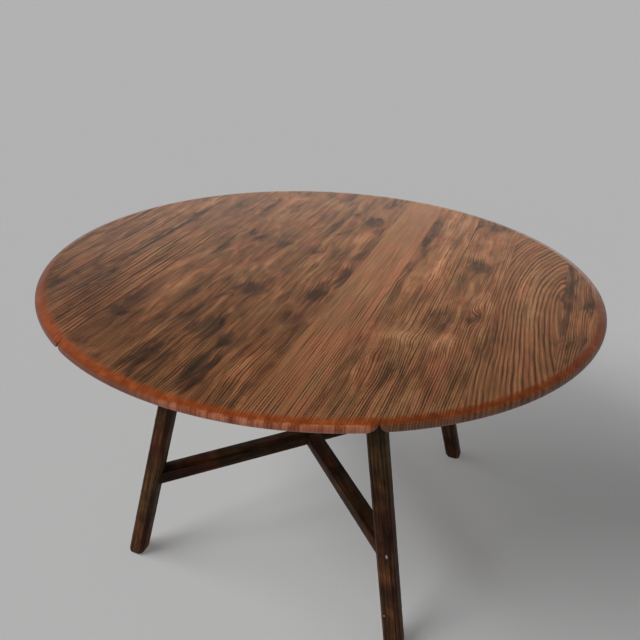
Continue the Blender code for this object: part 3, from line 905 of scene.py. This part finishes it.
def make_stretcher(node, side_x, over, material, seed):
    """A bar along a diagonal, notched half through where the other one crosses it."""
    run = Vector((side_x, 1, 0)).normalized()
    across = Vector((-run.y, run.x, 0))
    reach = leg_centre(STRETCHER_Z) * math.sqrt(2) - STRETCHER_BITE
    half = STRETCHER_W / 2
    low, high = STRETCHER_Z - STRETCHER_H / 2, STRETCHER_Z + STRETCHER_H / 2
    outline, near = eased(stretcher_outline(low, high), STRETCHER_EDGE_ROUND, STRETCHER_EDGE_FLAT)
    count = len(outline)
    arm = [half + (reach - half) * i / ARM_STEPS for i in range(ARM_STEPS + 1)]
    stations = [(-s, False) for s in reversed(arm)]
    stations += [(-half, True), (half, True)]
    stations += [(s, False) for s in arm]
    points, local, edge = [], [], []
    for s, notched in stations:
        for (u, z), n in zip(outline, near):
            wear = waves(np.array([u]), np.array([s]), seed, *STRETCHER_DENT_WAVES)
            dent = STRETCHER_DENT * n * (1 + float(wear[0]))
            u_in = u - math.copysign(dent, u)
            z_in = z - math.copysign(dent, z - STRETCHER_Z)
            if notched:
                z_in = max(z_in, STRETCHER_Z) if over else min(z_in, STRETCHER_Z)
            points.append(tuple(run * s + across * u_in + Vector((0, 0, z_in))))
            local.append((u, z_in - STRETCHER_Z, s))
            edge.append(n)
    faces = loft_faces(len(stations), count)
    faces.append(tuple(reversed(range(count))))
    faces.append(tuple(range((len(stations) - 1) * count, len(stations) * count)))
    fields = {"local": local, "edge": edge, "seed": np.full(len(points), DARK_SEED_STEP * seed)}
    obj = new_piece(node + "_wood", points, faces, material, "frame", (node,), fields)
    smooth(obj, 50)


def dark_material():
    """Dark stained wood, rubbed pale along its edges."""
    g = Graph("dark_wood")
    u, v, along = g.split(g.attribute("local").outputs["Vector"])
    seed = g.value("seed")
    edge = g.value("edge")
    u, v, along = g.scaled(u, MM_PER_M), g.scaled(v, MM_PER_M), g.scaled(along, MM_PER_M)

    def drawn_out(across, length, detail, roughness=0.5, shift=0.0):
        """Noise stretched along the piece, in cells of about these millimetres."""
        cell_u, cell_v = g.scaled(u, 1 / across, seed), g.scaled(v, 1 / across)
        return g.noise(g.join(cell_u, cell_v, g.scaled(along, 1 / length, shift)), detail, roughness)

    def up_to(number):
        """1 on the pieces whose seeds go up to this number, and 0 on the rest."""
        return g.fade(seed, (number + 0.7) * DARK_SEED_STEP, (number + 0.3) * DARK_SEED_STEP)

    streak = drawn_out(5.0, 160.0, 3.0, 0.6)
    fine = drawn_out(1.1, 40.0, 2.0)
    patch = drawn_out(60.0, 60.0, 3.0, 0.55)
    level = g.scaled(streak, 0.9, g.scaled(patch, 0.9, g.scaled(fine, 0.5, -0.75)))
    hue = drawn_out(90.0, 120.0, 2.0, shift=5.0)
    colour = g.mix(1.0, g.ramp(level, DARK_TONES), g.ramp(hue, DARK_HUES), "MULTIPLY")

    # The legs are paler than the stretchers
    colour = g.tinted(up_to(len(CORNERS)), colour, LEG_FACTORS)

    # The corners are dark, and rubbed pale here and there
    corner = g.fade(edge, 0.30, 0.90)
    colour = g.mix(g.scaled(corner, 0.75), colour, CORNER_DARK)
    chip = drawn_out(4.0, 24.0, 3.0, 0.6)
    rubbed = g.math("MULTIPLY", corner, g.fade(chip, 0.54, 0.72))
    colour = g.mix(g.scaled(rubbed, 0.5), colour, CORNER_RUBBED)

    # Pale chips on the front of the first leg
    front_face = g.math("MULTIPLY", up_to(1), g.fade(v, -18.0, -19.5))
    for chip_u, chip_z, half_u, half_z in LEG_CHIPS:
        away_u = g.math("POWER", g.scaled(u, 1 / half_u, -chip_u / half_u), 2.0)
        away_z = g.math("POWER", g.scaled(along, 1 / half_z, -chip_z / half_z), 2.0)
        away = g.scaled(chip, 1.2, g.math("ADD", away_u, away_z))
        spot = g.math("MULTIPLY", g.fade(away, 1.7, 1.2), front_face)
        colour = g.mix(spot, colour, CHIP_PALE)
    g.surface(
        base_color=colour,
        roughness=g.scaled(patch, 0.22, g.scaled(fine, 0.12, 0.36)),
        specular_ior_level=0.07,
        normal=g.bump(g.scaled(streak, 0.5, g.scaled(fine, 0.5)), 0.0002, 0.5),
    )
    return g.material


def metal_material(name, clean, worn, rough):
    """Drawn and handled metal: fine lines one way, and duller patches."""
    g = Graph(name)
    x, y, z = g.split(g.place())
    drawn = g.noise(g.join(g.scaled(x, 900.0), g.scaled(y, 60.0), g.scaled(z, 900.0)), 2.0, 0.6)
    patch = g.noise(g.join(g.scaled(x, 70.0), g.scaled(y, 70.0), g.scaled(z, 70.0)), 4.0, 0.6)
    colour = g.mix(g.fade(patch, 0.35, 0.75), clean, worn)
    g.surface(
        base_color=colour,
        metallic=1.0,
        roughness=g.scaled(drawn, 0.16, g.scaled(patch, 0.30, rough)),
        normal=g.bump(drawn, 0.00005, 0.4),
    )
    return g.material


def refine(node, body, material, ease, along=None, seed=0):
    """A copy of a CAD node with its edges eased, to stand for it."""
    source = frame["nodes"][node]
    obj = bpy.data.objects.new(node + "_eased", source.data.copy())
    bpy.context.scene.collection.objects.link(obj)
    work = bmesh.new()
    work.from_mesh(obj.data)
    bmesh.ops.remove_doubles(work, verts=work.verts, dist=WELD)
    bmesh.ops.dissolve_limit(work, angle_limit=math.radians(2), verts=work.verts, edges=work.edges)
    work.to_mesh(obj.data)
    work.free()
    obj.data.materials.clear()
    obj.data.materials.append(material)
    if along is not None:
        co = positions(obj)
        run = np.array(along)
        side = np.cross(run, (0, 0, 1.0))
        store(obj.data, "local", np.stack([co @ side, co[:, 2], co @ run], 1))
        store(obj.data, "edge", np.zeros(len(co)))
        store(obj.data, "seed", np.full(len(co), DARK_SEED_STEP * seed))
    bevel = obj.modifiers.new("ease", "BEVEL")
    bevel.width = ease
    bevel.segments = 2
    bevel.limit_method = "ANGLE"
    bevel.angle_limit = math.radians(40)
    bevel.use_clamp_overlap = True
    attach(obj, body)
    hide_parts(node)
    smooth(obj, 40)


def make_frame():
    """Legs, stretchers, aprons and corner blocks."""
    wood = dark_material()
    for seed, (side_x, side_y) in enumerate(CORNERS, 1):
        make_leg(side_x, side_y, wood, seed)
    make_stretcher("stretcher_upper", 1, True, wood, 5)
    make_stretcher("stretcher_lower", -1, False, wood, 6)
    for seed, side in enumerate(("front", "back", "left", "right"), 7):
        along = (1, 0, 0) if side in ("front", "back") else (0, 1, 0)
        refine("apron_" + side, "frame", wood, FRAME_EASE, along, seed)
    for seed, (side_x, side_y) in enumerate(CORNERS, 11):
        along = tuple(Vector((side_x, -side_y, 0)).normalized())
        node = "corner_block_" + corner_name(side_x, side_y)
        refine(node, "frame", wood, FRAME_EASE, along, seed)


def prism(points, faces, outline, z0, z1):
    """Adds a closed upright solid on this outline."""
    start, count = len(points), len(outline)
    points += [(x, y, z) for z in (z0, z1) for x, y in outline]
    faces += [tuple(start + i for i in face) for face in loft_faces(2, count)]
    faces.append(tuple(range(start, start + count)))
    faces.append(tuple(range(start + count, start + 2 * count)))


def arc_points(x, y, radius, first, last, steps):
    """Points around a centre, from the first angle to the last."""
    turns = [first + (last - first) * i / steps for i in range(steps + 1)]
    return [(x + radius * math.cos(t), y + radius * math.sin(t)) for t in turns]


def make_screws(node, body, material):
    """Slotted screw heads below a plate, each a disc with two halves on it and the slot between them."""
    low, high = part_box(node)
    side_x = math.copysign(1, low.x + high.x)
    side_y = math.copysign(1, low.y + high.y)
    middle = (low + high) / 2
    if node.endswith("bracket"):
        plate = high.z - BRACKET_T
        far = side_y * (max(abs(low.y), abs(high.y)) - BRACKET_SCREW_IN)
        places = [(middle.x + dx, far) for dx in (-BRACKET_SCREW_HALF_APART, BRACKET_SCREW_HALF_APART)]
    else:
        plate = low.z
        outward = side_x if node.endswith("moving") else -side_x
        edge = high.x if outward > 0 else low.x
        row_x = edge - outward * FLAP_SCREW_IN
        places = [(row_x, middle.y + dy) for dy in (-FLAP_SCREW_HALF_APART, FLAP_SCREW_HALF_APART)]
        if node.endswith("moving"):
            places.append((edge - outward * FLAP_THIRD_SCREW_IN, middle.y))
    points, faces = [], []
    lean = math.asin(SCREW_SLOT / 2 / SCREW_R)
    for i, (x, y) in enumerate(places):
        seat = arc_points(x, y, SCREW_SEAT_R, 0, 2 * math.pi * (1 - 1 / SCREW_SIDES), SCREW_SIDES - 1)
        prism(points, faces, seat, plate, plate - SCREW_FLOOR)

        # Each slot lies its own way
        turn = 0.7 + 1.9 * i + 40 * x
        for half in (turn, turn + math.pi):
            outline = arc_points(x, y, SCREW_R, half + lean, half + math.pi - lean, SCREW_SIDES // 2)
            prism(points, faces, outline, plate - SCREW_FLOOR / 2, plate - SCREW_RISE)
    screws = new_piece(node + "_screws", points, faces, material, body)
    smooth(screws, 40)


def make_metal():
    """Hinges and stays, with screw heads on their plates."""
    brass = metal_material("aged_brass", BRASS_CLEAN, BRASS_WORN, 0.22)
    steel = metal_material("plain_steel", STEEL_CLEAN, STEEL_WORN, 0.24)
    for row in frame["record"]["subparts"]:
        node = row["node"]
        if not node.startswith(("hinge", "stay")):
            continue
        slot = row["material_slot"]
        body = next(b for b, nodes in frame["record"]["behaviour"]["bodies"].items() if node in nodes)
        metal = brass if slot == "brass" else steel
        refine(node, body, metal, METAL_EASE)
        if node.endswith(("_fixed", "_moving", "_bracket")):
            make_screws(node, body, metal)


# Stage

def make_camera():
    data = bpy.data.cameras.new("camera")
    data.lens = CAMERA_LENS
    data.sensor_width = CAMERA_SENSOR
    data.shift_x, data.shift_y = CAMERA_SHIFT
    camera = bpy.data.objects.new("camera", data)
    camera.location = CAMERA_AT
    camera.rotation_euler = (math.radians(90 - CAMERA_PITCH), 0, math.radians(CAMERA_YAW))
    bpy.context.scene.collection.objects.link(camera)
    bpy.context.scene.camera = camera


def aim(obj, direction):
    """Turns a light to shine in this direction."""
    obj.rotation_euler = Vector(direction).to_track_quat("-Z", "Y").to_euler()


def make_sky():
    """A glow around the horizon, as grey as the floor at its foot, under a dim sky."""
    world = bpy.data.worlds.new("studio")
    bpy.context.scene.world = world
    world.use_nodes = True
    tree = world.node_tree
    sky = tree.nodes["Background"]
    sky.inputs["Color"].default_value = (1.0, 1.0, 1.0, 1.0)
    direction = tree.nodes.new("ShaderNodeTexCoord")
    parts = tree.nodes.new("ShaderNodeSeparateXYZ")
    tree.links.new(direction.outputs["Generated"], parts.inputs[0])
    strength = tree.nodes.new("ShaderNodeMath")
    strength.operation = "MULTIPLY"
    glow = smooth_step(tree, HORIZON_RISE, HORIZON_HEIGHT, HORIZON_STRENGTH, SKY_STRENGTH)
    rise = smooth_step(tree, 0.0, HORIZON_RISE, FLOOR_GREY / HORIZON_STRENGTH, 1.0)
    for band, socket in zip((glow, rise), strength.inputs):
        tree.links.new(parts.outputs["Z"], band.inputs["Value"])
        tree.links.new(band.outputs["Result"], socket)
    tree.links.new(strength.outputs[0], sky.inputs["Strength"])


def make_lights(floor):
    """Two soft suns, a fill for the floor and a soft light for the table."""
    pieces = bpy.data.collections.new("table")
    for obj in bpy.context.scene.collection.all_objects:
        if obj.type == "MESH" and obj is not floor:
            pieces.objects.link(obj)
    ground = bpy.data.collections.new("ground")
    ground.objects.link(floor)

    suns = {}
    for name, start, strength, angle in (
        ("key", KEY_FROM, KEY_STRENGTH, KEY_ANGLE),
        ("side", SIDE_FROM, SIDE_STRENGTH, SIDE_ANGLE),
        ("fill", FILL_FROM, FILL_STRENGTH, FILL_ANGLE),
    ):
        data = bpy.data.lights.new(name, "SUN")
        data.energy = strength
        data.angle = math.radians(angle)
        suns[name] = bpy.data.objects.new(name, data)
        aim(suns[name], -Vector(start))
        suns[name].visible_glossy = False
        bpy.context.scene.collection.objects.link(suns[name])

    # The fill is for the floor alone and nothing shades it, so that the shadow stays pale
    suns["fill"].light_linking.receiver_collection = ground
    suns["fill"].light_linking.blocker_collection = ground

    # A soft light above the back that only the table receives, so that the floor stays even
    data = bpy.data.lights.new("back", "AREA")
    data.energy = BACK_POWER
    data.size = BACK_SIZE
    back = bpy.data.objects.new("back", data)
    back.location = BACK_AT
    aim(back, Vector(BACK_AIM) - Vector(BACK_AT))
    back.visible_glossy = False
    bpy.context.scene.collection.objects.link(back)
    back.light_linking.receiver_collection = pieces


def make_floor():
    """A wide grey floor, faintly clouded."""
    g = Graph("floor")
    x, y, z = g.split(g.place())
    cloud = g.noise(g.join(g.scaled(x, 0.4), g.scaled(y, 0.4), z), 2.0)
    shade = g.scaled(cloud, FLOOR_CLOUD, FLOOR_GREY - FLOOR_CLOUD / 2)
    g.surface(base_color=g.join(shade, shade, shade), roughness=0.95, specular_ior_level=0.0)
    corners = [(u * FLOOR_HALF, v * FLOOR_HALF, 0) for u, v in ((-1, -1), (1, -1), (1, 1), (-1, 1))]
    data = bpy.data.meshes.new("floor")
    data.from_pydata(corners, [], [(0, 1, 2, 3)])
    data.materials.append(g.material)
    floor = bpy.data.objects.new("floor", data)
    bpy.context.scene.collection.objects.link(floor)
    return floor


bpy.context.scene.view_settings.view_transform = "Standard"
make_camera()
make_top()
make_frame()
make_metal()
make_sky()
make_lights(make_floor())
